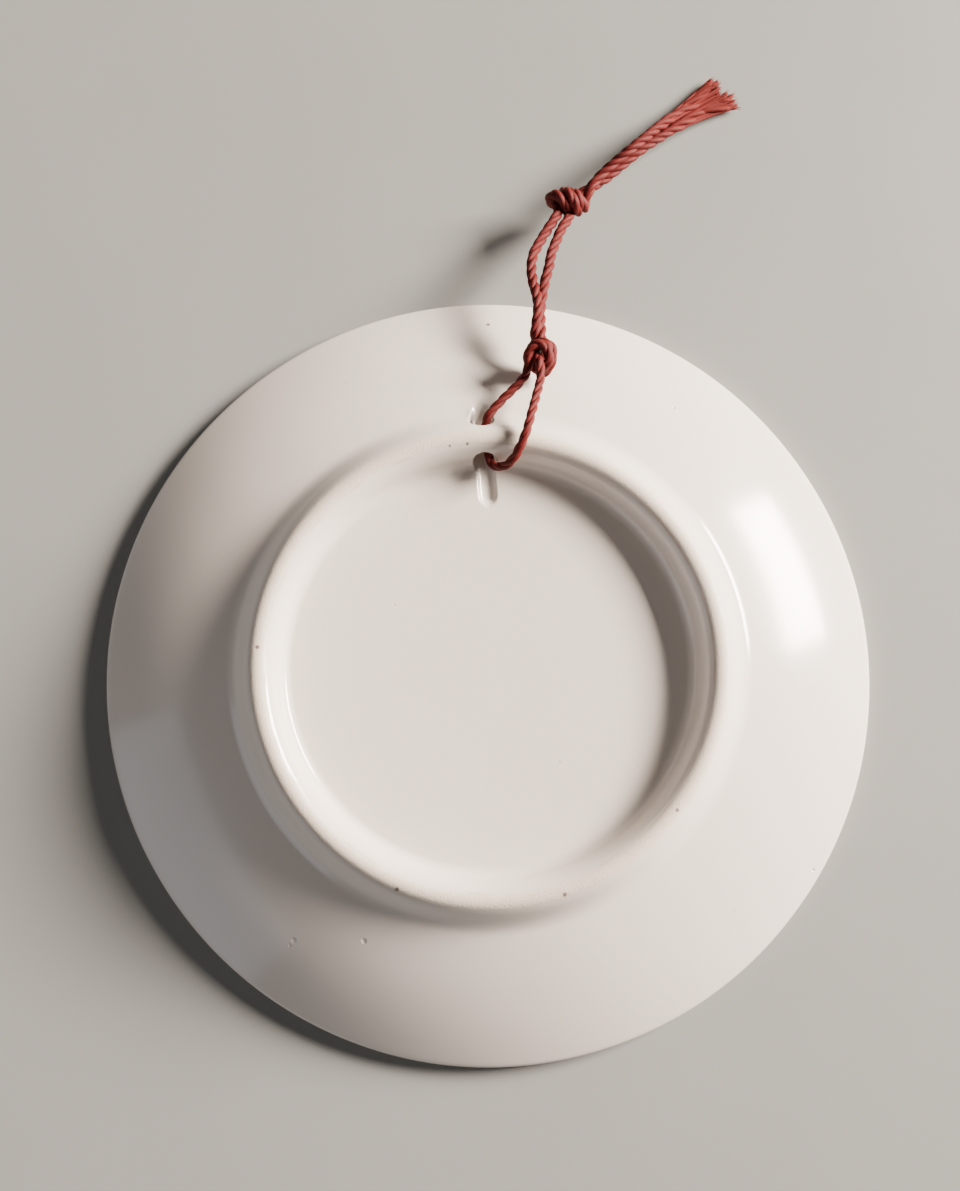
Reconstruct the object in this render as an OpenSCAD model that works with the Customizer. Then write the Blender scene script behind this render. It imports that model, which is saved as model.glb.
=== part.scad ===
// Small porcelain wall plate with a knotted hanging cord.
// The plate lies face down: the rim's lip is on z = 0 and the foot ring points up.
// The hanging hole is on the +Y side. Millimetres, +Z up, origin under the plate's centre.

/* [Plate] */
// Outer diameter of the rim
plate_d = 110; // [88:1:140]
// Height from the lip that the plate lies on to the crest of the foot ring
plate_h = 16; // [14:0.5:20]
// Thickness of the plate in its flat middle
wall = 3; // [2:0.25:4]
// Radius of the rounded rim
lip_r = 1.3; // [1:0.1:1.6]
// Width of the narrow flat land on the lip
lip_land = 1; // [0.5:0.1:1.5]
// How much the back bows outwards: its slope gains twice this from the foot ring to the rim, in degrees
back_bow = 8; // [4:0.5:12]

/* [Foot ring] */
// Diameter of the foot ring's crest
foot_d = 62.2; // [52:0.2:72]
// Depth of the recess inside the foot ring, from its crest
recess_depth = 4.1; // [3.5:0.1:5]
// Width of the foot ring at its base, fillets left out
foot_w = 6; // [5:0.1:7.5]
// Slope of the foot ring's inner wall, in degrees
inner_wall_slope = 72; // [60:1:80]
// Slope of the foot ring's outer wall, in degrees
outer_wall_slope = 55; // [45:1:65]

/* [Hanging hole] */
// Diameter of the hole through the foot ring
hole_d = 3.4; // [2.6:0.1:3.8]
// Thickness of the bar left between the hole and the crest
bar_t = 1.35; // [1:0.05:1.8]
// Sideways offset of the hole from the centre line, under the crest
hole_x = -0.8; // [-2:0.1:2]
// How far the hole was drilled off the radial direction, in degrees
hole_yaw = 5; // [-8:1:8]
// How far the hole's groove runs into the recess, from the crest
groove_l = 7.5; // [5:0.5:10]

/* [Cord] */
// Diameter of the twisted cord
cord_d = 1.5; // [1.2:0.1:1.5]
// Diameter of the lower knot
lower_knot_d = 4.4; // [4:0.1:5]
// Diameter of the upper knot
upper_knot_d = 3.6; // [3.2:0.1:3.8]
// Length of the upper knot
upper_knot_l = 6; // [5:0.1:7]

/* [Hidden] */
$fn = 96;
curve_steps = 8;
cord_sides = 8;
glaze = "ivory";
cord_red = [0.72, 0.22, 0.18];

// Heights and radii that follow from the sizes above
rim_r = plate_d / 2;
crest_r = foot_d / 2;
floor_z = plate_h - recess_depth;
well_z = floor_z - wall;
foot_half_w = foot_w / 2;
// The walls are this much nearer the crest than the ring's base, where the fillets at their feet
// end, this far above the recess floor. From there they round over to the crest.
inner_wall_inset = 0.35;
inner_wall_rise = 1.3;
outer_wall_inset = 0.5;
outer_wall_rise = 2;
// The fillets run out this far beyond the ring's base
inner_fillet_w = 1.2;
outer_fillet_w = 1.9;
// The back starts this much lower than the recess floor, outside the foot ring
back_drop = 0.1;
back_foot_z = floor_z - back_drop;
back_foot_r = crest_r + foot_half_w + outer_fillet_w;
back_slope = atan2(back_foot_z - 2 * lip_r, rim_r - lip_r - back_foot_r);
back_slope_in = back_slope - back_bow;
back_slope_out = back_slope + back_bow;
lip_turn_z = lip_r * (1 + cos(back_slope_out));
lip_turn_r = rim_r - lip_r * (1 - sin(back_slope_out));
land_out_r = rim_r - lip_r;
land_in_r = land_out_r - lip_land;
// The flat of the face underneath ends this far inside the foot ring's crest
well_inset = 4.5;
well_r = crest_r - well_inset;
hole_z = plate_h - bar_t - hole_d / 2;
// The hole's cutter runs out past the crest by this much, clear of the back
hole_reach = 9;

// The knots: where their centres are, and how round their edges are
lower_knot_at = [7, 43, 13];
lower_knot_l = 4;
lower_knot_edge = 0.45;
upper_knot_at = [11.8, 69.6, 4.9];
upper_knot_turn = -5;
upper_knot_edge = 0.9;
// Gap between the legs' ends and the lower knot, which swings with the rest of the cord
knot_gap = 0.05;
leg_end_y = lower_knot_at.y - lower_knot_l / 2 - knot_gap;

// The cord's own places, in the order in which it runs. Out of the lower knot, down its outer
// leg, through the foot ring and back over the crest to the lower knot:
through_foot_route = [
    [5.5, leg_end_y, 13], [5.5, 40.2, 13], [4.1, 39, 13.1], [2.6, 37.8, 13.2], [1.2, 36.3, 13.3],
    [0, 34.8, 13.35], [-0.5, 33.2, 13], [-0.4, 31.4, 12.9], [-0.1, 29.6, 12.9], [0.3, 28, 13.3],
    [1.6, 27.3, 14.1], [3, 27.8, 15.6], [4.1, 29.3, 16.8], [5, 31.4, 17.4],
    [5.7, 34, 17], [6.5, 37, 15.4], [7.3, 39.8, 13.9], [7.3, leg_end_y, 13.9]];
// From the lower knot to the upper knot, the two strands of the hanging loop
loop_left_route = [
    [6.4, 44.6, 12], [6.6, 47, 11.3], [6.9, 49, 10.7], [7.1, 51, 10.2], [6.9, 53, 9.9],
    [6.4, 55.4, 9.6], [6.2, 57.8, 9], [6.5, 60.1, 8.2], [7.5, 62.5, 7.2], [8.8, 64.9, 6.3],
    [9.8, 66.8, 5.5], [10.4, 68.7, 5]];
loop_right_route = [
    [7.6, 44.6, 13], [7.5, 47, 12.8], [7.3, 49, 12.4], [7.2, 51, 11.9], [7.6, 53, 11.4],
    [8.1, 55.4, 10.6], [8.7, 57.8, 9.4], [9.1, 60.1, 8.4], [9.9, 62.5, 7.3], [10.8, 64.9, 6.4],
    [11.6, 66.8, 5.6], [12.2, 68.7, 5.1]];
// From the upper knot to the two loose ends
tail_left_route = [
    [12.8, 70.2, 5.3], [15.1, 72.3, 5.2], [17, 74.3, 5.3], [19, 75.9, 5.6],
    [21.2, 77.5, 5.9], [23.2, 79.3, 5.5], [25.5, 81.7, 4.4], [28.3, 84.4, 2.5], [31.4, 87.2, 1.2],
    [34.5, 89.8, 0.8]];
tail_right_route = [
    [13.7, 69.4, 4.6], [16.1, 71.2, 4.1], [17.8, 73.2, 4], [19.6, 75.3, 4], [21.6, 77.3, 4],
    [23.9, 79.2, 3.8], [26.4, 80.9, 3.2], [29.5, 82.9, 2.2], [33, 85, 1.2], [36.8, 86.9, 0.8]];

// A point and its direction, joined to the next by one smooth curve
function along(angle) = [cos(angle), sin(angle)];
function bezier(a, b, c, d, t) =
    pow(1 - t, 3) * a + 3 * t * pow(1 - t, 2) * b + 3 * t * t * (1 - t) * c + t * t * t * d;
function blend(p, p_angle, q, q_angle, grip = 0.36) =
    let (reach = grip * norm(q - p))
    [for (i = [1 : curve_steps])
        bezier(p, p + reach * along(p_angle), q - reach * along(q_angle), q, i / curve_steps)];

// Half section of the plate: recess floor, foot ring, back, rim, then the face underneath
recess_edge = [crest_r - foot_half_w - inner_fillet_w, floor_z];
inner_wall_foot = [crest_r - foot_half_w + inner_wall_inset, floor_z + inner_wall_rise];
crest = [crest_r, plate_h];
outer_wall_foot = [crest_r + foot_half_w - outer_wall_inset, floor_z + outer_wall_rise];
back_start = [back_foot_r, back_foot_z];
back_end = [lip_turn_r, lip_turn_z];
rim_point = [rim_r, lip_r];
land_out = [land_out_r, 0];
land_in = [land_in_r, 0];
well_edge = [well_r, well_z];
plate_section = concat(
    [[0, floor_z], recess_edge],
    blend(recess_edge, 0, inner_wall_foot, inner_wall_slope),
    blend(inner_wall_foot, inner_wall_slope, crest, 0),
    blend(crest, 0, outer_wall_foot, -outer_wall_slope),
    blend(outer_wall_foot, -outer_wall_slope, back_start, -back_slope_in),
    blend(back_start, -back_slope_in, back_end, -back_slope_out),
    blend(back_end, -back_slope_out, rim_point, -90),
    blend(rim_point, -90, land_out, -180),
    [land_in],
    blend(land_in, 180 - back_slope_out, well_edge, 180),
    [[0, well_z]]);

// A round cord swept along a route, with flat ends square to it
function heading(route, i) =
    let (back = max(i - 1, 0), ahead = min(i + 1, len(route) - 1), d = route[ahead] - route[back])
    d / norm(d);
function ring_at(route, i, r) =
    let (t = heading(route, i), side = cross(t, [0, 0, 1]), u = side / norm(side), v = cross(u, t))
    [for (k = [0 : cord_sides - 1])
        let (a = 360 * k / cord_sides) route[i] + r * (cos(a) * u + sin(a) * v)];
module cord_tube(route) {
    n = len(route);
    points = [for (i = [0 : n - 1]) each ring_at(route, i, cord_d / 2)];
    sides = [for (i = [0 : n - 2], k = [0 : cord_sides - 1])
        let (a = i * cord_sides, next = (k + 1) % cord_sides)
        [a + k, a + next, a + next + cord_sides, a + k + cord_sides]];
    start = [for (k = [cord_sides - 1 : -1 : 0]) k];
    end = [for (k = [0 : cord_sides - 1]) (n - 1) * cord_sides + k];
    polyhedron(points = points, faces = concat(sides, [start, end]), convexity = 6);
}

// A short drum with rounded edges, along Z and centred
module knot_drum(d, l, edge) {
    rotate_extrude()
        polygon(concat(
            [[0, -l / 2]],
            [for (i = [0 : curve_steps])
                let (a = -90 + 90 * i / curve_steps)
                [d / 2 - edge + edge * cos(a), -l / 2 + edge + edge * sin(a)]],
            [for (i = [0 : curve_steps])
                let (a = 90 * i / curve_steps)
                [d / 2 - edge + edge * cos(a), l / 2 - edge + edge * sin(a)]],
            [[0, l / 2]]));
}

module plate() {
    color(glaze)
        difference() {
            rotate_extrude($fn = 180) polygon(plate_section);
            // the hanging hole, which runs on into the recess as a round-ended groove
            translate([hole_x, crest_r, hole_z])
                rotate([-90, 0, hole_yaw])
                    translate([0, 0, -groove_l]) {
                        cylinder(d = hole_d, h = groove_l + hole_reach, $fn = 48);
                        sphere(d = hole_d, $fn = 48);
                    }
        }
}

module cord_through_foot() {
    color(cord_red) cord_tube(through_foot_route);
}

module lower_knot() {
    color(cord_red)
        translate(lower_knot_at)
            rotate([90, 0, 0])
                knot_drum(lower_knot_d, lower_knot_l, lower_knot_edge);
}

module loop_strand_left() {
    color(cord_red) cord_tube(loop_left_route);
}

module loop_strand_right() {
    color(cord_red) cord_tube(loop_right_route);
}

module upper_knot() {
    color(cord_red)
        translate(upper_knot_at)
            rotate([0, 90, upper_knot_turn])
                knot_drum(upper_knot_d, upper_knot_l, upper_knot_edge);
}

module tail_strand_left() {
    color(cord_red) cord_tube(tail_left_route);
}

module tail_strand_right() {
    color(cord_red) cord_tube(tail_right_route);
}

plate();
cord_through_foot();
lower_knot();
loop_strand_left();
loop_strand_right();
upper_knot();
tail_strand_left();
tail_strand_right();
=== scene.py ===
import math
import random

import bmesh
import bpy
from bpy.props import (
    FloatProperty,
    FloatVectorProperty,
    IntProperty,
    PointerProperty,
)
from mathutils import Matrix, Vector, noise


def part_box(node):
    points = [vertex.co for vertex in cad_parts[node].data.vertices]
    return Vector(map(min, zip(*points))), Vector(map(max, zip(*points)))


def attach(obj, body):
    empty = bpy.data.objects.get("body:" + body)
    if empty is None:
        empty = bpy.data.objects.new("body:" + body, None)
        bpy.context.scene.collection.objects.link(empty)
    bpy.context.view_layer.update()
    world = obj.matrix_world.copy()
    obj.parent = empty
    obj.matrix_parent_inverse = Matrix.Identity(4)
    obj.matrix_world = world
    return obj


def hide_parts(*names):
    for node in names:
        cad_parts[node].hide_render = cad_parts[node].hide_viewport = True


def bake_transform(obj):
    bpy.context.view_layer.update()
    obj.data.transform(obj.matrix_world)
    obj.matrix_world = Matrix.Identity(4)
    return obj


bl_info = {
    "name": "Hanging Wall Plate",
    "version": (1, 0, 0),
    "blender": (4, 5, 0),
    "location": "View3D > Sidebar > Wall Plate",
    "description": "Builds a small glazed wall plate, lying face down, with its knotted hanging cord",
    "category": "Add Mesh",
}

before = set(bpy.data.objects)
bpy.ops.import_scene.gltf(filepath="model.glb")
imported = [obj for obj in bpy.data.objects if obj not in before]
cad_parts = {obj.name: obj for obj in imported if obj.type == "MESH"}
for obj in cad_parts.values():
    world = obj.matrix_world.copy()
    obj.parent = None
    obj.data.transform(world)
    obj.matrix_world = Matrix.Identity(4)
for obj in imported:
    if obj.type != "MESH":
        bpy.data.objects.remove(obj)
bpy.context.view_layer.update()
MM = 0.001

# The plate's outer sizes come from the frame, and the rest of its section repeats the design
PLATE_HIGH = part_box("plate")[1]
RIM_R = PLATE_HIGH.x
PLATE_H = PLATE_HIGH.z

# The cord's places, in millimetres, in the order in which it runs. Outwards from the middle of
# the hanging hole: the outer leg leaves at the foot of the ring's outer wall.
OUTER_LEG = [
    (-0.4, 31.4, 12.9), (-0.5, 33.2, 13.0), (0.0, 34.8, 13.35), (1.2, 36.3, 13.3),
    (2.6, 37.8, 13.2), (4.1, 39.3, 13.1), (5.1, 40.6, 13.1)]
# The inner leg turns up out of the recess and crosses the foot ring's crest
INNER_LEG = [
    (-0.4, 31.4, 12.9), (-0.1, 29.6, 12.9), (0.3, 28.0, 13.3), (1.6, 27.3, 14.1),
    (3.0, 27.8, 15.6), (4.1, 29.3, 16.8), (5.0, 31.4, 17.4), (5.7, 34.0, 17.0),
    (6.5, 37.0, 15.6), (7.1, 39.6, 14.5)]
# The lower knot is tied with both strands. Each winds over the front, round the right-hand side
# and up behind, the outer leg's strand inside the arch of the inner leg's.
LOWER_KNOT_OUTER = [
    (5.5, 42.0, 13.3), (5.45, 43.1, 13.6), (5.9, 44.2, 14.0), (6.9, 44.75, 14.3),
    (7.85, 44.3, 14.35), (8.3, 43.3, 14.1), (8.2, 42.3, 13.5), (7.5, 41.6, 12.6),
    (6.6, 41.9, 11.9), (6.1, 43.0, 11.6), (6.3, 44.4, 11.7)]
LOWER_KNOT_INNER = [
    (7.1, 41.0, 14.4), (7.0, 42.0, 14.3), (6.8, 43.0, 13.7), (6.6, 44.0, 13.1),
    (6.9, 45.0, 13.1), (7.9, 45.15, 13.4), (8.7, 44.4, 13.4), (8.85, 43.3, 13.0),
    (8.55, 42.1, 12.4), (7.8, 41.4, 11.6), (7.0, 42.0, 10.9), (7.1, 43.4, 11.0),
    (7.4, 44.8, 11.8)]
# The two strands of the hanging loop
LOOP_LEFT = [
    (6.5, 45.8, 11.6), (6.5, 47.2, 12.3), (6.8, 49.0, 12.4), (7.0, 51.0, 12.0), (6.8, 53.0, 11.2),
    (6.35, 55.4, 10.0), (6.2, 57.8, 9.0), (6.5, 60.1, 8.2), (7.5, 62.5, 7.2), (8.8, 64.9, 6.3)]
LOOP_RIGHT = [
    (7.4, 46.0, 12.2), (7.4, 47.2, 11.9), (7.35, 49.0, 11.2), (7.35, 51.0, 10.8), (7.65, 53.0, 10.6),
    (8.1, 55.4, 10.2), (8.7, 57.8, 9.4), (9.1, 60.1, 8.4), (9.9, 62.5, 7.3), (10.8, 64.9, 6.4)]
# The upper knot, which both strands wind round too, slanting across its front
UPPER_KNOT_LEFT = [
    (10.03, 67.12, 5.45), (10.5, 68.5, 4.57), (10.1, 69.55, 4.04), (9.51, 69.84, 4.26),
    (9.17, 70.13, 5.08), (9.81, 70.32, 5.99), (10.79, 69.55, 6.45), (11.59, 68.59, 5.89),
    (12.08, 68.41, 4.76), (12.17, 69.16, 3.92), (12.07, 70.41, 4.29), (12.46, 70.9, 5.41),
    (13.15, 70.03, 6.27), (13.95, 68.97, 5.71), (14.34, 68.88, 4.71), (14.43, 69.93, 4.37)]
UPPER_KNOT_RIGHT = [
    (11.9, 67.03, 5.33), (11.98, 68.32, 4.14), (11.48, 69.26, 3.83), (10.99, 70.41, 4.19),
    (11.18, 71.09, 5.33), (11.97, 70.13, 6.58), (12.76, 68.88, 6.41), (13.17, 68.22, 5.32),
    (13.36, 68.59, 4.19), (13.25, 69.84, 3.86), (13.74, 70.99, 4.62)]
# The two loose ends
TAIL_LEFT = [
    (15.2, 71.7, 5.1), (16.7, 73.7, 5.1), (18.9, 75.7, 5.4), (21.2, 77.5, 5.8), (23.2, 79.4, 5.3),
    (25.4, 81.7, 4.2), (28.2, 84.4, 2.6), (31.4, 87.3, 1.3), (35.6, 90.5, 0.9)]
TAIL_RIGHT = [
    (14.9, 71.9, 4.4), (16.3, 72.9, 4.1), (17.9, 74.0, 4.1), (19.8, 75.6, 4.1), (21.8, 77.4, 4.0),
    (24.0, 79.2, 3.8), (26.4, 81.0, 3.2), (29.5, 83.4, 2.2), (33.0, 85.8, 1.2), (37.8, 88.1, 0.8)]
# How far each ply stands to the left of its strand at the frayed end, and how far short of the
# strand's own end it stops, in millimetres
FANS = {
    "left": [(0.7, 0.9), (0.0, 1.2), (-0.7, 1.0)],
    "right": [(0.7, 1.0), (0.0, 0.8), (-0.7, 1.1)],
}
# The cord is drawn to this share of its girth up to the first y, where it passes through the
# foot ring, and has its whole girth from the second y on
THIN, THIN_TO, FULL_FROM = 0.84, 40.0, 49.0
# The knots, as (y, share of its girth that the cord gains there), and how far one reaches in y
SWELLS = [(43.6, 0.12), (69.6, 0.04)]
SWELL_REACH = 1.9


# ---------------------------------------------------------------- settings

def length(name, description, default, low, high):
    """A size in metres, shown in the scene's own unit."""
    return FloatProperty(name=name, description=description, default=default, min=low, max=high,
                         subtype="DISTANCE", unit="LENGTH", precision=5)


def colour(name, description, default):
    """A plain colour in linear values."""
    return FloatVectorProperty(name=name, description=description, default=default,
                               subtype="COLOR", min=0.0, max=1.0, size=3)


class PlateSettings(bpy.types.PropertyGroup):
    foot_r: length("Foot ring radius", "Radius of the foot ring's crest", 31.1 * MM, 0.026, 0.036)
    foot_half_w: length("Foot ring half width", "Half the ring's width at its base",
                        3.0 * MM, 0.0025, 0.0038)
    recess: length("Recess depth", "Depth of the recess inside the foot ring",
                   4.1 * MM, 0.0035, 0.005)
    wall: length("Wall", "Thickness of the plate in its flat middle", 3.0 * MM, 0.002, 0.004)
    lip_r: length("Lip radius", "Radius of the rounded rim", 1.3 * MM, 0.001, 0.0016)
    hole_r: length("Hole radius", "Radius of the hanging hole", 1.7 * MM, 0.0013, 0.0019)
    ripple: length("Glaze ripple", "How far the fired surface wanders from a true turned one",
                   0.035 * MM, 0.0, 0.0002)
    glaze: colour("Glaze", "Colour of the glazed porcelain", (0.82, 0.74, 0.675))
    bare_clay: colour("Bare clay", "Colour of the unglazed crest", (0.72, 0.56, 0.40))
    scorch: colour("Scorch", "Colour of the thin line where the glaze ends", (0.52, 0.38, 0.24))
    speck: colour("Speck", "Colour of the iron specks in the glaze", (0.10, 0.06, 0.045))


class CordSettings(bpy.types.PropertyGroup):
    diameter: length("Diameter", "Diameter of the laid cord", 1.5 * MM, 0.001, 0.0018)
    plies: IntProperty(name="Plies", description="Twisted plies in the cord",
                       default=3, min=2, max=4)
    lay: length("Lay", "Length of one full turn of a ply", 5.4 * MM, 0.002, 0.008)
    loose_end: length("Loose end", "Length over which each end has come unlaid",
                      18.0 * MM, 0.0, 0.03)
    yarns: IntProperty(name="Yarns", description="Yarns that each loose end has opened into",
                       default=11, min=3, max=30)
    fibres: IntProperty(name="Fibres", description="Loose fibres at the end of each yarn",
                        default=7, min=0, max=30)
    # The thread's red comes in lit and shaded copies. The first is its painted highlight, and the
    # next is its painted shade between the bright streaks.
    lit: colour("Lit thread", "Colour of the thread's bright side", (0.150, 0.0105, 0.0085))
    shaded: colour("Shaded thread", "Colour of the thread between its bright streaks",
                   (0.082, 0.007, 0.0065))
    faded: colour("Loose thread", "Colour of the unlaid ends", (0.165, 0.012, 0.0075))


class StageSettings(bpy.types.PropertyGroup):
    floor: colour("Floor", "Colour of the floor", (0.28, 0.28, 0.267))
    key_power: FloatProperty(name="Window light", description="Power of the soft window light",
                             default=150.0, min=0.0, unit="POWER")
    fill_power: FloatProperty(name="Fill", description="Power of the cool fill light",
                              default=0.6, min=0.0, unit="POWER")
    ambient: FloatProperty(name="Ambient", description="Strength of the even light all round",
                           default=0.13, min=0.0)
    lens: FloatProperty(name="Lens", description="Focal length of the camera",
                        default=40.0, min=20.0, unit="CAMERA")


# ---------------------------------------------------------------- shader maths

class Socket:
    """A number or colour in a node tree, which takes part in Python expressions."""

    def __init__(self, tree, socket):
        self.tree = tree
        self.socket = socket

    def node(self, kind, inputs=(), output=0, **settings):
        """Adds a node of a kind, sets it up, fills its inputs and gives one of its outputs."""
        made = self.tree.nodes.new(kind)
        for name, value in settings.items():
            setattr(made, name, value)
        for key, value in dict(inputs).items():
            if isinstance(value, Socket):
                self.tree.links.new(value.socket, made.inputs[key])
            else:
                made.inputs[key].default_value = value
        return Socket(self.tree, made.outputs[output])

    def math(self, operation, *values):
        """One operation on numbers, some of which are sockets."""
        return self.node("ShaderNodeMath", enumerate(values), operation=operation)

    def __add__(self, other):
        return self.math("ADD", self, other)

    def __radd__(self, other):
        return self.math("ADD", other, self)

    def __sub__(self, other):
        return self.math("SUBTRACT", self, other)

    def __rsub__(self, other):
        return self.math("SUBTRACT", other, self)

    def __mul__(self, other):
        return self.math("MULTIPLY", self, other)

    def step(self, low, high):
        """0 below low and 1 above high, turning smoothly between them."""
        return self.node("ShaderNodeMapRange", {0: self, 1: low, 2: high},
                         interpolation_type="SMOOTHSTEP")

    def band(self, centre, half_width, edge):
        """1 within half_width of centre, falling to 0 over edge."""
        away = self.math("ABSOLUTE", self - centre)
        return 1 - away.step(half_width, half_width + edge)

    def mix(self, first, second):
        """This number as the share of the second colour in the first."""
        return self.node("ShaderNodeMix", {0: self, 6: _rgba(first), 7: _rgba(second)},
                         output=2, data_type="RGBA")

    def scaled(self, factors):
        """This vector, stretched along its axes."""
        return self.node("ShaderNodeMapping", {0: self, 3: factors})

    def noise(self, scale, detail=2.0, roughness=0.5):
        """Cloudy noise on this vector, from 0 to 1."""
        return self.node("ShaderNodeTexNoise",
                         {"Vector": self, "Scale": scale, "Detail": detail,
                          "Roughness": roughness})

    def axis(self, name):
        """One axis of this vector."""
        return self.node("ShaderNodeSeparateXYZ", {0: self}, output="XYZ".index(name))


def _rgba(value):
    """A plain colour with its alpha, or a socket as it is."""
    return value if isinstance(value, Socket) else (*value, 1.0)


def finish_material(name, make):
    """A new material whose Principled shader's inputs are what make returns by socket name."""
    material = bpy.data.materials.new(name)
    material.use_nodes = True
    tree = material.node_tree
    shader = tree.nodes["Principled BSDF"]
    for socket, value in make(Socket(tree, None)).items():
        if isinstance(value, Socket):
            tree.links.new(value.socket, shader.inputs[socket])
        elif socket == "Base Color":
            shader.inputs[socket].default_value = _rgba(value)
        else:
            shader.inputs[socket].default_value = value
    return material


# ---------------------------------------------------------------- outlines and meshes

# Turned points closer than this, in metres, become one
WELD = 1e-6


def along(angle):
    """A unit vector at an angle in degrees."""
    return Vector((math.cos(math.radians(angle)), math.sin(math.radians(angle))))


def curve_between(p, p_angle, q, q_angle, steps, grip=0.36):
    """Points after p on one smooth curve that leaves p and meets q at the given angles."""
    p, q = Vector(p), Vector(q)
    reach = grip * (q - p).length
    b, c = p + reach * along(p_angle), q - reach * along(q_angle)
    found = []
    for i in range(1, steps + 1):
        t = i / steps
        found.append((1 - t) ** 3 * p + 3 * t * (1 - t) ** 2 * b
                     + 3 * t * t * (1 - t) * c + t ** 3 * q)
    return found


def straight(p, q, steps):
    """Points after p on the straight line to q."""
    p, q = Vector(p), Vector(q)
    return [p.lerp(q, i / steps) for i in range(1, steps + 1)]


def lathe(bm, outline, arcs):
    """Turns an outline of (radius, height) points about Z, in arcs of (degrees, steps)."""
    verts = [bm.verts.new((r, 0.0, z)) for r, z in outline]
    last = verts + [bm.edges.new(pair) for pair in zip(verts, verts[1:])]
    for angle, steps in arcs:
        last = bmesh.ops.spin(bm, geom=last, cent=(0, 0, 0), axis=(0, 0, 1),
                              angle=math.radians(angle), steps=steps,
                              use_merge=angle == 360)["geom_last"]
    bmesh.ops.remove_doubles(bm, verts=bm.verts, dist=WELD)
    bmesh.ops.recalc_face_normals(bm, faces=bm.faces)


def new_object(name, bm, material=None, smooth=True):
    """A finished object at the origin from a bmesh, which is freed."""
    mesh = bpy.data.meshes.new(name)
    bm.to_mesh(mesh)
    bm.free()
    mesh.polygons.foreach_set("use_smooth", [smooth] * len(mesh.polygons))
    if material:
        mesh.materials.append(material)
    obj = bpy.data.objects.new(name, mesh)
    bpy.context.scene.collection.objects.link(obj)
    return obj


def cut_away(obj, cutter):
    """Takes the cutter's shape out of obj for good, and deletes the cutter."""
    modifier = obj.modifiers.new("cut", "BOOLEAN")
    modifier.operation = "DIFFERENCE"
    modifier.solver = "EXACT"
    modifier.object = cutter
    evaluated = obj.evaluated_get(bpy.context.evaluated_depsgraph_get())
    mesh = bpy.data.meshes.new_from_object(evaluated)
    obj.modifiers.clear()
    obj.data = mesh
    bpy.data.objects.remove(cutter)


# ---------------------------------------------------------------- plate

# Details of the section that are the same on any such plate, with slopes in degrees
INNER_SLOPE = 72.0
INNER_WALL_INSET, INNER_WALL_RISE, INNER_FILLET_W = 0.35 * MM, 1.3 * MM, 1.2 * MM
OUTER_SLOPE = 55.0
OUTER_WALL_INSET, OUTER_WALL_RISE, OUTER_FILLET_W = 0.5 * MM, 2.0 * MM, 1.9 * MM
BACK_DROP = 0.1 * MM
BACK_BOW = 8.0
LIP_LAND = 1.0 * MM
WELL_INSET = 4.5 * MM
# The hanging hole, from the end of its groove in the recess out through the foot ring
BAR_T = 1.35 * MM
HOLE_X = -0.8 * MM
HOLE_YAW = 5.0
GROOVE_L = 7.5 * MM
HOLE_REACH = 9.0 * MM
# The mesh is finer over this sector, in degrees, round the hanging hole, and outwards from this
# radius
FINE_SECTOR = 24.0
FINE_FROM_R = 21.0 * MM
# Round the hole's mouths, cut edges that turn by more than this many degrees are softened. The
# softening spreads over so many rings of edges no longer than SOFT_EDGE, in so many passes.
SHARP = 22.0
SOFT_HALF_W, SOFT_FROM_Y, SOFT_FROM_Z = 5 * MM, 20 * MM, 10 * MM
SOFT_RINGS, SOFT_EDGE, SOFT_PASSES = 3, 0.7 * MM, 9
# Sizes of the waves that the fired surface wanders in
LONG_WAVE, SHORT_WAVE = 22 * MM, 7 * MM

# Iron specks and scars from firing, as (x, y, radius) in millimetres, that lie on the back
SPECKS = [
    (-31.0, 2.2, 0.24), (-12.1, -29.5, 0.28), (24.7, -19.3, 0.26), (0.0, 50.8, 0.26),
    (9.8, -30.2, 0.3), (-5.4, 29.8, 0.16), (-3.0, 30.1, 0.18), (44.6, 4.0, 0.1),
    (-20.5, 41.2, 0.08), (33.6, -33.1, 0.08)]
# Pinholes and blisters in the glaze, in the same way
PITS = [(-26.5, -37.0, 0.3), (-16.8, -36.8, 0.28), (-27.1, -37.7, 0.2), (26.6, 37.5, 0.16),
        (45.6, -28.0, 0.2), (-13.0, 8.4, 0.1), (9.5, -13.0, 0.08)]
# What the glaze's red, green and blue fall to where it is cloudy
CLOUDED = (0.975, 0.97, 0.955)


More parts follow.
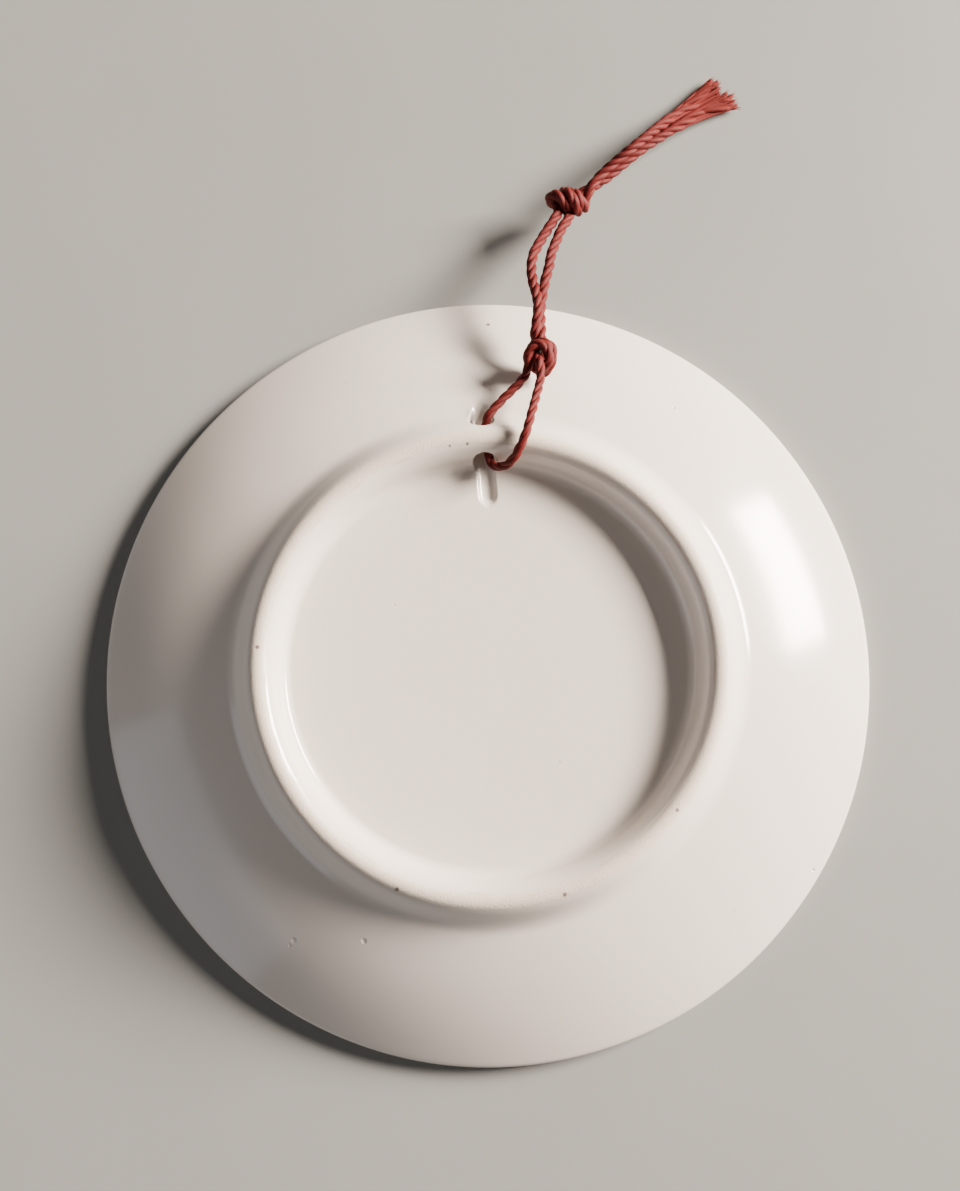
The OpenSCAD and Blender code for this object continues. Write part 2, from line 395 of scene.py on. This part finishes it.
def plate_outline(s):
    """Half section of the plate: recess, foot ring, back, rim, and the face underneath."""
    top, floor = PLATE_H, PLATE_H - s.recess
    recess_edge = (s.foot_r - s.foot_half_w - INNER_FILLET_W, floor)
    inner_foot = (s.foot_r - s.foot_half_w + INNER_WALL_INSET, floor + INNER_WALL_RISE)
    crest = (s.foot_r, top)
    outer_foot = (s.foot_r + s.foot_half_w - OUTER_WALL_INSET, floor + OUTER_WALL_RISE)
    back_in = (s.foot_r + s.foot_half_w + OUTER_FILLET_W, floor - BACK_DROP)
    slope = math.degrees(math.atan2(back_in[1] - 2 * s.lip_r, RIM_R - s.lip_r - back_in[0]))
    steep, gentle = slope + BACK_BOW, slope - BACK_BOW
    turn = math.radians(steep)
    back_out = (RIM_R - s.lip_r * (1 - math.sin(turn)), s.lip_r * (1 + math.cos(turn)))
    rim = (RIM_R, s.lip_r)
    land_out = (RIM_R - s.lip_r, 0.0)
    land_in = (land_out[0] - LIP_LAND, 0.0)
    well_edge = (s.foot_r - WELL_INSET, floor - s.wall)
    near_hole = (FINE_FROM_R, floor)
    points = [Vector((0.0, floor))]
    points += straight(points[-1], near_hole, 12)
    points += straight(near_hole, recess_edge, 22)
    points += curve_between(recess_edge, 0, inner_foot, INNER_SLOPE, 12)
    points += curve_between(inner_foot, INNER_SLOPE, crest, 0, 18)
    points += curve_between(crest, 0, outer_foot, -OUTER_SLOPE, 18)
    points += curve_between(outer_foot, -OUTER_SLOPE, back_in, -gentle, 14)
    points += curve_between(back_in, -gentle, back_out, -steep, 34)
    points += curve_between(back_out, -steep, rim, -90, 7)
    points += curve_between(rim, -90, land_out, -180, 7)
    points += straight(land_out, land_in, 3)
    points += curve_between(land_in, 180 - steep, well_edge, 180, 26)
    points += straight(well_edge, (0.0, floor - s.wall), 14)
    return points


def hole_cutter(s):
    """A long round-ended rod where the hanging hole and its groove are."""
    bm = bmesh.new()
    reach = GROOVE_L + HOLE_REACH
    end = [s.hole_r * along(a) for a in range(-90, 1, 9)]
    end[0].x = 0.0
    side = straight(end[-1], (s.hole_r, reach), 60)
    lathe(bm, end + side + straight(side[-1], (0.0, reach), 4), [(360, 64)])
    place = (Matrix.Translation((HOLE_X, s.foot_r, PLATE_H - BAR_T - s.hole_r))
             @ Matrix.Rotation(math.radians(HOLE_YAW), 4, "Z")
             @ Matrix.Rotation(math.radians(-90), 4, "X")
             @ Matrix.Translation((0, 0, -GROOVE_L)))
    bmesh.ops.transform(bm, matrix=place, verts=bm.verts)
    return new_object("hole_cutter", bm)


def put_in_order(items, place):
    """Sorts a mesh's verts, edges or faces by where they are."""
    rank = {item: i for i, item in enumerate(sorted(items, key=place))}
    items.sort(key=rank.get)
    items.index_update()


def soften_hole(obj, s):
    """Rounds the cut edges of the hole, as thick glaze does, and ripples the whole surface."""
    bm = bmesh.new()
    bm.from_mesh(obj.data)
    # The cut leaves its mesh in an order that changes from run to run, and the welds follow it
    put_in_order(bm.verts, lambda v: tuple(v.co))
    put_in_order(bm.edges, lambda e: tuple(e.verts[0].co + e.verts[1].co))
    put_in_order(bm.faces, lambda f: tuple(f.calc_center_bounds()))
    bmesh.ops.remove_doubles(bm, verts=bm.verts, dist=0.02 * MM)
    bmesh.ops.dissolve_degenerate(bm, edges=bm.edges, dist=0.01 * MM)
    sharp = math.radians(SHARP)
    near = {v for e in bm.edges if len(e.link_faces) == 2 and e.calc_face_angle(0) > sharp
            for v in e.verts
            if abs(v.co.x) < SOFT_HALF_W and v.co.y > SOFT_FROM_Y and v.co.z > SOFT_FROM_Z}
    for _ in range(SOFT_RINGS):
        near |= {e.other_vert(v) for v in near for e in v.link_edges
                 if e.calc_length() < SOFT_EDGE}
    for _ in range(SOFT_PASSES):
        bmesh.ops.smooth_vert(bm, verts=list(near), factor=0.5,
                              use_axis_x=True, use_axis_y=True, use_axis_z=True)
    bm.normal_update()
    for v in bm.verts:
        wander = (noise.noise(v.co / LONG_WAVE)
                  + 0.35 * noise.noise(v.co / SHORT_WAVE + Vector((9, 4, 2))))
        resting = min(1.0, max(0.0, v.co.z / (1.5 * MM)))
        v.co += v.normal * (wander * s.ripple * resting)
    bm.to_mesh(obj.data)
    bm.free()
    obj.data.polygons.foreach_set("use_smooth", [True] * len(obj.data.polygons))


def glaze_material(s):
    """Warm white glaze, with a bare crest on the foot ring, iron specks and pinholes."""

    def make(start):
        place = start.node("ShaderNodeTexCoord", output="Object")
        x, y, z = (place.axis(a) for a in "XYZ")
        radius = start.math("SQRT", x * x + y * y)
        cloud = place.noise(45.0, 3.0)
        fine = place.noise(900.0, 3.0, 0.6)
        wander = (place.noise(260.0, 4.0, 0.65) - 0.5) * (0.9 * MM)
        ragged = radius + wander
        crest = ragged.band(s.foot_r + 0.1 * MM, 0.5 * MM, 0.9 * MM)
        crest = crest * z.step(PLATE_H - 0.9 * MM, PLATE_H - 0.3 * MM)
        patchy = place.noise(140.0, 3.0, 0.6).step(0.46, 0.62)
        scorch = (radius + wander * 0.5).band(s.foot_r - 0.95 * MM, 0.04 * MM, 0.16 * MM)
        scorch = scorch * patchy * z.step(PLATE_H - 1.6 * MM, PLATE_H - 0.9 * MM)
        clouded = [c * k for c, k in zip(s.glaze, CLOUDED)]
        base = cloud.step(0.3, 0.72).mix(s.glaze, clouded)
        clay = fine.step(0.3, 0.7).mix(s.bare_clay, [c * 0.86 for c in s.bare_clay])
        base = (crest * 0.45).mix(base, clay)
        base = (scorch * 0.4).mix(base, s.scorch)
        marks = spots(start, x, y, z, SPECKS, fine, 0.45)
        base = (marks * 0.85).mix(base, s.speck)
        pits = spots(start, x, y, z, PITS, fine, 0.7)
        base = (pits * 0.35).mix(base, s.bare_clay)
        skin = place.noise(1500.0, 2.0) * 0.35 + place.noise(300.0, 2.0) * 0.65
        grain = place.noise(4200.0, 2.0, 0.7)
        height = skin * (0.004 * MM) + crest * grain * (0.06 * MM) - pits * (0.12 * MM)
        bump = start.node("ShaderNodeBump", {"Strength": 1.0, "Distance": 1.0,
                                             "Height": height})
        rough = 0.13 + cloud * 0.05 + crest * 0.5 + scorch * 0.25 + pits * 0.1
        return {"Base Color": base, "Roughness": rough, "Normal": bump, "IOR": 1.5,
                "Coat Roughness": 0.05}

    return finish_material("glazed_porcelain", make)


def spots(start, x, y, z, places, fine, edge):
    """Small round marks on the back, as (x, y, radius) in millimetres, with ragged edges."""
    total = None
    for px, py, r in places:
        dx, dy = x - px * MM, y - py * MM
        away = start.math("SQRT", dx * dx + dy * dy) + (fine - 0.5) * (r * MM * 0.9)
        mark = 1 - away.step(r * MM * (1 - edge), r * MM * (1 + edge))
        total = mark if total is None else start.math("MAXIMUM", total, mark)
    return total * z.step(0.6 * MM, 1.6 * MM)


class WALLPLATE_OT_plate(bpy.types.Operator):
    """Turns the plate, drills its foot ring and glazes it"""
    bl_idname = "wallplate.plate"
    bl_label = "Plate"

    def execute(self, context):
        s = context.scene.wallplate_plate
        bm = bmesh.new()
        lathe(bm, plate_outline(s), [(FINE_SECTOR, 110), (360 - FINE_SECTOR, 230)])
        turn = Matrix.Rotation(math.radians(90 - FINE_SECTOR / 2), 4, "Z")
        bmesh.ops.transform(bm, matrix=turn, verts=bm.verts)
        plate = new_object("porcelain_plate", bm)
        cut_away(plate, hole_cutter(s))
        soften_hole(plate, s)
        plate.data.materials.clear()
        plate.data.materials.append(glaze_material(s))
        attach(plate, "plate")
        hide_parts("plate")
        return {"FINISHED"}


# ---------------------------------------------------------------- cord

ROUTE_STEP = 0.2 * MM
# How many pieces the smooth curve between two places is first worked out in
CURVE_PARTS = 24
PLY_SIDES, YARN_SIDES, FIBRE_SIDES = 12, 7, 4
# A ply's distance from the middle of the cord and its radius, over the cord's girth, and what a
# tight knot takes from the one and adds to the other
PLY_AWAY, KNOT_CLOSER = 0.235, 0.065
PLY_R, KNOT_FATTER = 0.285, 0.05
# The last rings of a ply, from its tip inwards, over its radius
PLY_TIP = (0.3, 0.6, 0.8, 0.9)
# Half the width of the yarns side by side, where they part and at their ends, in millimetres
BRUSH_HALF_W = (0.35, 1.35)
# A yarn's radius where it parts from the cord, and what it gains by its end, in millimetres
YARN_R, YARN_GAIN = 0.2, 0.07
# A fibre's radius from root to tip, and how far back inside its yarn the root is
FIBRE_R = (0.06 * MM, 0.06 * MM, 0.05 * MM, 0.02 * MM)
FIBRE_ROOT = 0.5 * MM


def even_route(places, step):
    """Points a step apart, in metres, on one smooth curve through places in millimetres."""
    p = [Vector(q) * MM for q in places]
    p = [2 * p[0] - p[1]] + p + [2 * p[-1] - p[-2]]
    dense = []
    for a, b, c, d in zip(p, p[1:], p[2:], p[3:]):
        knots = [0.0]
        for u, v in ((a, b), (b, c), (c, d)):
            knots.append(knots[-1] + math.sqrt((v - u).length))
        for i in range(CURVE_PARTS):
            t = knots[1] + (knots[2] - knots[1]) * i / CURVE_PARTS
            dense.append(_catmull_rom(a, b, c, d, knots, t))
    dense.append(p[-2])
    run = [0.0]
    for u, v in zip(dense, dense[1:]):
        run.append(run[-1] + (v - u).length)
    count = max(2, round(run[-1] / step))
    found, k = [], 0
    for i in range(count + 1):
        want = run[-1] * i / count
        while k < len(run) - 2 and run[k + 1] < want:
            k += 1
        share = (want - run[k]) / max(run[k + 1] - run[k], 1e-12)
        found.append(dense[k].lerp(dense[k + 1], share))
    return found, run[-1]


def _catmull_rom(a, b, c, d, k, t):
    """A point between b and c on the centripetal Catmull-Rom curve through a, b, c and d."""
    ab = a.lerp(b, (t - k[0]) / (k[1] - k[0]))
    bc = b.lerp(c, (t - k[1]) / (k[2] - k[1]))
    cd = c.lerp(d, (t - k[2]) / (k[3] - k[2]))
    abc = ab.lerp(bc, (t - k[0]) / (k[2] - k[0]))
    bcd = bc.lerp(cd, (t - k[1]) / (k[3] - k[1]))
    return abc.lerp(bcd, (t - k[1]) / (k[2] - k[1]))


def frames_along(points):
    """A frame at each point, with Z along the route and no twist of its own."""
    found = []
    side = None
    for i, p in enumerate(points):
        ahead = (points[min(i + 1, len(points) - 1)] - points[max(i - 1, 0)]).normalized()
        side = ahead.orthogonal() if side is None else side - ahead * side.dot(ahead)
        side.normalize()
        other = ahead.cross(side)
        found.append(Matrix((side, other, ahead)).transposed().to_4x4())
        found[-1].translation = p
    return found


def sweep(bm, frames, radii, sides, ply, loose):
    """A closed round tube along frames. Its verts carry where they are on the thread, in a place
    of its own for each ply, and how loose it is there."""
    tube = bmesh.new()
    grain = tube.verts.layers.float_vector.new("grain")
    wear = tube.verts.layers.float.new("loose")
    ring = bmesh.ops.create_circle(tube, segments=sides, radius=1.0, matrix=Matrix())["verts"]
    edges = list(tube.edges)
    at, reach = Matrix(), 0.0
    for i, (here, r) in enumerate(zip(frames, radii)):
        if i:
            made = bmesh.ops.extrude_edge_only(tube, edges=edges)["geom"]
            ring = [g for g in made if isinstance(g, bmesh.types.BMVert)]
            fresh = set(ring)
            edges = [g for g in made if isinstance(g, bmesh.types.BMEdge)
                     and fresh.issuperset(g.verts)]
            reach += (here.translation - frames[i - 1].translation).length
        target = here @ Matrix.Diagonal((r, r, r, 1.0))
        bmesh.ops.transform(tube, matrix=target @ at.inverted(), verts=ring)
        at = target
        back = target.inverted()
        for v in ring:
            local = back @ v.co
            v[grain] = (local.x + 5 * ply, local.y, reach / MM)
            v[wear] = loose[i]
    bmesh.ops.holes_fill(tube, edges=[e for e in tube.edges if e.is_boundary], sides=0)
    mesh = bpy.data.meshes.new("tube")
    tube.to_mesh(mesh)
    tube.free()
    bm.from_mesh(mesh)
    bpy.data.meshes.remove(mesh)


def ply_frames(route, s, ply, phase, fan):
    """The frames, radii and looseness of one ply, which comes unlaid towards the cord's end."""
    step = (route[1].translation - route[0].translation).length
    whole = step * (len(route) - 1)
    turn = phase + 2 * math.pi * ply / s.plies
    aside, short = fan[ply % len(fan)]
    centres, radii, loose = [], [], []
    for i, here in enumerate(route):
        open_ = 1 - min(1.0, (whole - i * step) / s.loose_end)
        ease = open_ * open_ * (3 - 2 * open_)
        girth, close = girth_at(here.translation.y / MM)
        girth *= s.diameter
        turn += 2 * math.pi * step / s.lay * (1 - 0.55 * ease)
        away = girth * (PLY_AWAY - KNOT_CLOSER * close) * (1 + 0.2 * ease)
        point = here @ Vector((math.cos(turn) * away, math.sin(turn) * away, 0.0))
        point += left_of(here) * (aside * MM * open_ ** 2.2)
        radius = girth * (PLY_R + KNOT_FATTER * close)
        radius *= 1 - 0.1 * ease + 0.04 * math.sin(0.09 * i + 2 * ply)
        point.z = max(point.z, radius * 0.95)
        centres.append(point)
        radii.append(radius)
        loose.append(ease)
    count = len(centres) - round(short * MM / step)
    return frames_along(centres[:count]), radii[:count], loose[:count]


def left_of(frame):
    """The level direction to the left of a route, at one of its frames."""
    ahead = frame.to_3x3().col[2]
    return Vector((-ahead.y, ahead.x, 0.0)).normalized()


def girth_at(y):
    """By its y in millimetres, the cord's girth over its full one, and how tight its plies are."""
    share = min(1.0, max(0.0, (y - THIN_TO) / (FULL_FROM - THIN_TO)))
    girth, close = THIN + (1 - THIN) * share * share * (3 - 2 * share), 0.0
    for knot_y, more in SWELLS:
        near = math.exp(-((y - knot_y) / SWELL_REACH) ** 4)
        girth += more * near
        close += near
    return girth, close


def brush(bm, route, s, rng):
    """The unlaid end of a strand: thin yarns that spread out side by side, each frayed."""
    narrow, wide = BRUSH_HALF_W
    end = len(route) - 1
    first = end - round(s.loose_end * 0.8 / ROUTE_STEP)
    for number in range(s.yarns):
        across = (number + 0.5) / s.yarns * 2 - 1 + rng.uniform(-0.12, 0.12)
        height = rng.uniform(-0.2, 0.55) * (1 - across * across)
        sway, phase = rng.uniform(0.03, 0.12), rng.uniform(0, 2 * math.pi)
        last = end - round(rng.uniform(0.0, 1.0) * MM / ROUTE_STEP)
        centres, radii = [], []
        for i in range(first, last + 1, 2):
            t = (i - first) / (end - first)
            spread = (narrow + (wide - narrow) * t ** 1.3) * MM
            wander = sway * math.sin(phase + 7 * t) * t * MM
            point = route[i].translation + left_of(route[i]) * (across * spread + wander)
            radius = (YARN_R + YARN_GAIN * t) * MM * min(1.0, 0.3 + 4 * t)
            point.z += height * MM * (0.6 + 0.4 * t)
            point.z = max(point.z, radius)
            centres.append(point)
            radii.append(radius)
        frames = frames_along(centres)
        fray(bm, frames[-2], radii[-2] * 1.5, s, rng)
        radii[-1] *= 0.5
        sweep(bm, frames, radii, YARN_SIDES, number * 0.37, [1.0] * len(frames))


def fray(bm, end, radius, s, rng):
    """Loose fibres that stand out of the end of a yarn, down to the table."""
    for _ in range(s.fibres):
        angle, out = rng.uniform(0, 2 * math.pi), math.sqrt(rng.random())
        start = Vector((math.cos(angle) * out * radius * 0.7,
                        math.sin(angle) * out * radius * 0.7, -FIBRE_ROOT))
        lean = Vector((start.x, start.y, 0)) * rng.uniform(0.2, 1.2)
        reach = rng.uniform(0.4, 1.0) * MM
        points = []
        for k in range(4):
            t = k / 3
            p = end @ (start + Vector((0, 0, (reach + FIBRE_ROOT) * t)) + lean * t * t)
            p.z = max(p.z - 0.1 * MM * t * t, FIBRE_R[0])
            points.append(p)
        sweep(bm, frames_along(points), FIBRE_R, FIBRE_SIDES, rng.random() * 3, [1.0] * 4)


def laid_cord(name, places, s, material, phase, seed, fan):
    """One run of the twisted cord along places, with its centreline and that line's length."""
    points, whole = even_route(places, ROUTE_STEP)
    route = frames_along(points)
    rng = random.Random(seed)
    bm = bmesh.new()
    for ply in range(s.plies):
        frames, radii, loose = ply_frames(route, s, ply, phase, fan)
        for k, share in enumerate(PLY_TIP):
            radii[-1 - k] *= share
        sweep(bm, frames, radii, PLY_SIDES, ply, loose)
    brush(bm, route, s, rng)
    bmesh.ops.recalc_face_normals(bm, faces=bm.faces)
    return new_object(name, bm, material), points, whole


def thread_material(s):
    """Glossy red thread: painted highlight streaks along each ply, painted shade between them, duller
    where unlaid.
    """

    def make(start):
        grain = start.node("ShaderNodeAttribute", output="Vector", attribute_name="grain")
        loose = start.node("ShaderNodeAttribute", output="Fac", attribute_name="loose")
        place = start.node("ShaderNodeTexCoord", output="Object")
        streak = grain.scaled((3.4, 3.4, 0.55)).noise(1.6, 4.0, 0.62)
        fibre = grain.scaled((9.0, 9.0, 0.9)).noise(1.8, 3.0, 0.7)
        soft = place.noise(420.0, 2.0)
        # Painted light: along the streaks the thread takes its lit colour as a painted highlight, and
        # between them its shaded colour as painted shade
        lit = (streak * 0.75 + fibre * 0.25).step(0.32, 0.66)
        base = lit.mix(s.shaded, s.lit)
        base = (loose * 0.6).mix(base, s.faded)
        # Random cloudy patches are also darkened a little towards the painted shade colour
        base = (soft.step(0.35, 0.75) * 0.25).mix(base, s.shaded)
        height = (streak * 0.6 + fibre * 0.6) * (0.06 * MM)
        bump = start.node("ShaderNodeBump", {"Strength": 0.9, "Distance": 1.0,
                                             "Height": height})
        rough = 0.5 + fibre * 0.14 + loose * 0.15
        return {"Base Color": base, "Roughness": rough, "Normal": bump,
                "Specular IOR Level": 0.22}

    return finish_material("twisted_thread", make)


class WALLPLATE_OT_cord(bpy.types.Operator):
    """Threads the cord through the foot ring, ties its two knots and frays its ends"""
    bl_idname = "wallplate.cord"
    bl_label = "Cord"

    def execute(self, context):
        s = context.scene.wallplate_cord
        material = thread_material(s)
        outer = OUTER_LEG + LOWER_KNOT_OUTER + LOOP_LEFT + UPPER_KNOT_LEFT + TAIL_LEFT
        inner = INNER_LEG + LOWER_KNOT_INNER + LOOP_RIGHT + UPPER_KNOT_RIGHT + TAIL_RIGHT
        runs = [
            ("cord_outer_run", outer, FANS["left"], OUTER_LEG[2],
             (0.0, 34.5, 13.0), (5.5, 41.0, 13.0),
             ("cord_through_foot", "lower_knot", "loop_strand_left", "upper_knot",
              "tail_strand_left")),
            ("cord_inner_run", inner, FANS["right"], INNER_LEG[2],
             (0.0, 27.5, 13.5), (7.1, 40.5, 13.5),
             ("loop_strand_right", "tail_strand_right")),
        ]
        # Each run is laid along its places, its pieces from model.glb are hidden, and it is baked in
        # place
        for i, (name, places, fan, mouth, fixed, free, nodes) in enumerate(runs):
            run, points, whole = laid_cord(name, places, s, material, 0.9 * i, i + 3, fan)
            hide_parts(*nodes)
            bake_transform(run)
            print(name, "is", round(whole / MM, 1), "mm long")
        return {"FINISHED"}


# ---------------------------------------------------------------- stage

CAMERA_AT = Vector((-2.0, -14.3, 192.2)) * MM
CAMERA_TO = Vector((-1.2, 11.3, 0.0)) * MM
# The window light, and the cool sky light low on the other side. Each has a direction, and its
# distance and size are in metres.
KEY_FROM = Vector((0.846, 0.350, 0.404))
KEY_AWAY = 1.5
KEY_SIZE = (0.66, 0.37)
KEY_TINT = (1.0, 0.89, 0.79)
FILL_FROM = Vector((-0.85, -0.45, 0.27))
FILL_AWAY = 0.6
FILL_SIZE = (0.5, 0.3)
FILL_TINT = (0.82, 0.88, 1.0)
ROOM_TINT = (1.0, 0.93, 0.87)
FLOOR_HALF_W = 1.5
# The floor lies this far under the plate's land, so that the two surfaces never coincide
FLOOR_DROP = 0.02 * MM


class WALLPLATE_OT_stage(bpy.types.Operator):
    """Sets the camera, the window light and the pale floor"""
    bl_idname = "wallplate.stage"
    bl_label = "Stage"

    def execute(self, context):
        s = context.scene.wallplate_stage
        data = bpy.data.cameras.new("camera")
        data.lens = s.lens
        data.clip_start = 0.005
        camera = bpy.data.objects.new("camera", data)
        ahead = (CAMERA_TO - CAMERA_AT).normalized()
        right = ahead.cross(Vector((0, 1, 0))).normalized()
        aim = Matrix((right, right.cross(ahead), -ahead)).transposed().to_4x4()
        camera.matrix_world = Matrix.Translation(CAMERA_AT) @ aim
        context.scene.collection.objects.link(camera)
        context.scene.camera = camera
        self.area("window_light", KEY_FROM, KEY_AWAY, KEY_SIZE, s.key_power, KEY_TINT)
        self.area("sky_light", FILL_FROM, FILL_AWAY, FILL_SIZE, s.fill_power, FILL_TINT)
        world = bpy.data.worlds.new("room")
        world.use_nodes = True
        air = world.node_tree.nodes["Background"].inputs
        air["Color"].default_value = (*ROOM_TINT, 1.0)
        air["Strength"].default_value = s.ambient
        context.scene.world = world
        bm = bmesh.new()
        bmesh.ops.create_grid(bm, x_segments=4, y_segments=4, size=FLOOR_HALF_W)
        bmesh.ops.translate(bm, vec=(0, 0, -FLOOR_DROP), verts=bm.verts)
        floor = new_object("floor", bm, floor_material(s), smooth=False)
        return {"FINISHED"}

    @staticmethod
    def area(name, direction, away, size, power, tint):
        """A soft rectangular light that faces the plate."""
        data = bpy.data.lights.new(name, "AREA")
        data.shape = "RECTANGLE"
        data.size, data.size_y = size
        data.energy = power
        data.color = tint
        lamp = bpy.data.objects.new(name, data)
        at = direction.normalized() * away
        facing = (-at).to_track_quat("-Z", "Y").to_matrix().to_4x4()
        lamp.matrix_world = Matrix.Translation(at) @ facing
        bpy.context.scene.collection.objects.link(lamp)


def floor_material(s):
    """A plain pale matt floor."""

    def make(start):
        place = start.node("ShaderNodeTexCoord", output="Object")
        # Random cloudy patches make the floor a little darker here and there
        mottle = place.noise(30.0, 3.0).step(0.3, 0.7)
        base = mottle.mix(s.floor, [c * 0.97 for c in s.floor])
        return {"Base Color": base, "Roughness": 0.6}

    return finish_material("pale_floor", make)


# ---------------------------------------------------------------- panel and registration

class WALLPLATE_PT_panel(bpy.types.Panel):
    """The plate's pieces and their settings"""
    bl_idname = "WALLPLATE_PT_panel"
    bl_label = "Wall Plate"
    bl_space_type = "VIEW_3D"
    bl_region_type = "UI"
    bl_category = "Wall Plate"

    def draw(self, context):
        for operator, settings in STEPS:
            box = self.layout.box()
            box.operator(operator.bl_idname)
            group = getattr(context.scene, settings)
            for name in group.__annotations__:
                box.prop(group, name)


STEPS = [
    (WALLPLATE_OT_stage, "wallplate_stage"),
    (WALLPLATE_OT_cord, "wallplate_cord"),
    (WALLPLATE_OT_plate, "wallplate_plate"),
]
GROUPS = {
    "wallplate_plate": PlateSettings,
    "wallplate_cord": CordSettings,
    "wallplate_stage": StageSettings,
}
CLASSES = [*GROUPS.values(), *(operator for operator, _ in STEPS), WALLPLATE_PT_panel]


def register():
    for cls in CLASSES:
        bpy.utils.register_class(cls)
    for name, group in GROUPS.items():
        setattr(bpy.types.Scene, name, PointerProperty(type=group))


def unregister():
    for name in GROUPS:
        delattr(bpy.types.Scene, name)
    for cls in reversed(CLASSES):
        bpy.utils.unregister_class(cls)


def main():
    """Builds the whole scene."""
    register()
    bpy.ops.wallplate.stage()
    bpy.ops.wallplate.cord()
    bpy.ops.wallplate.plate()


if __name__ == "__main__":
    main()
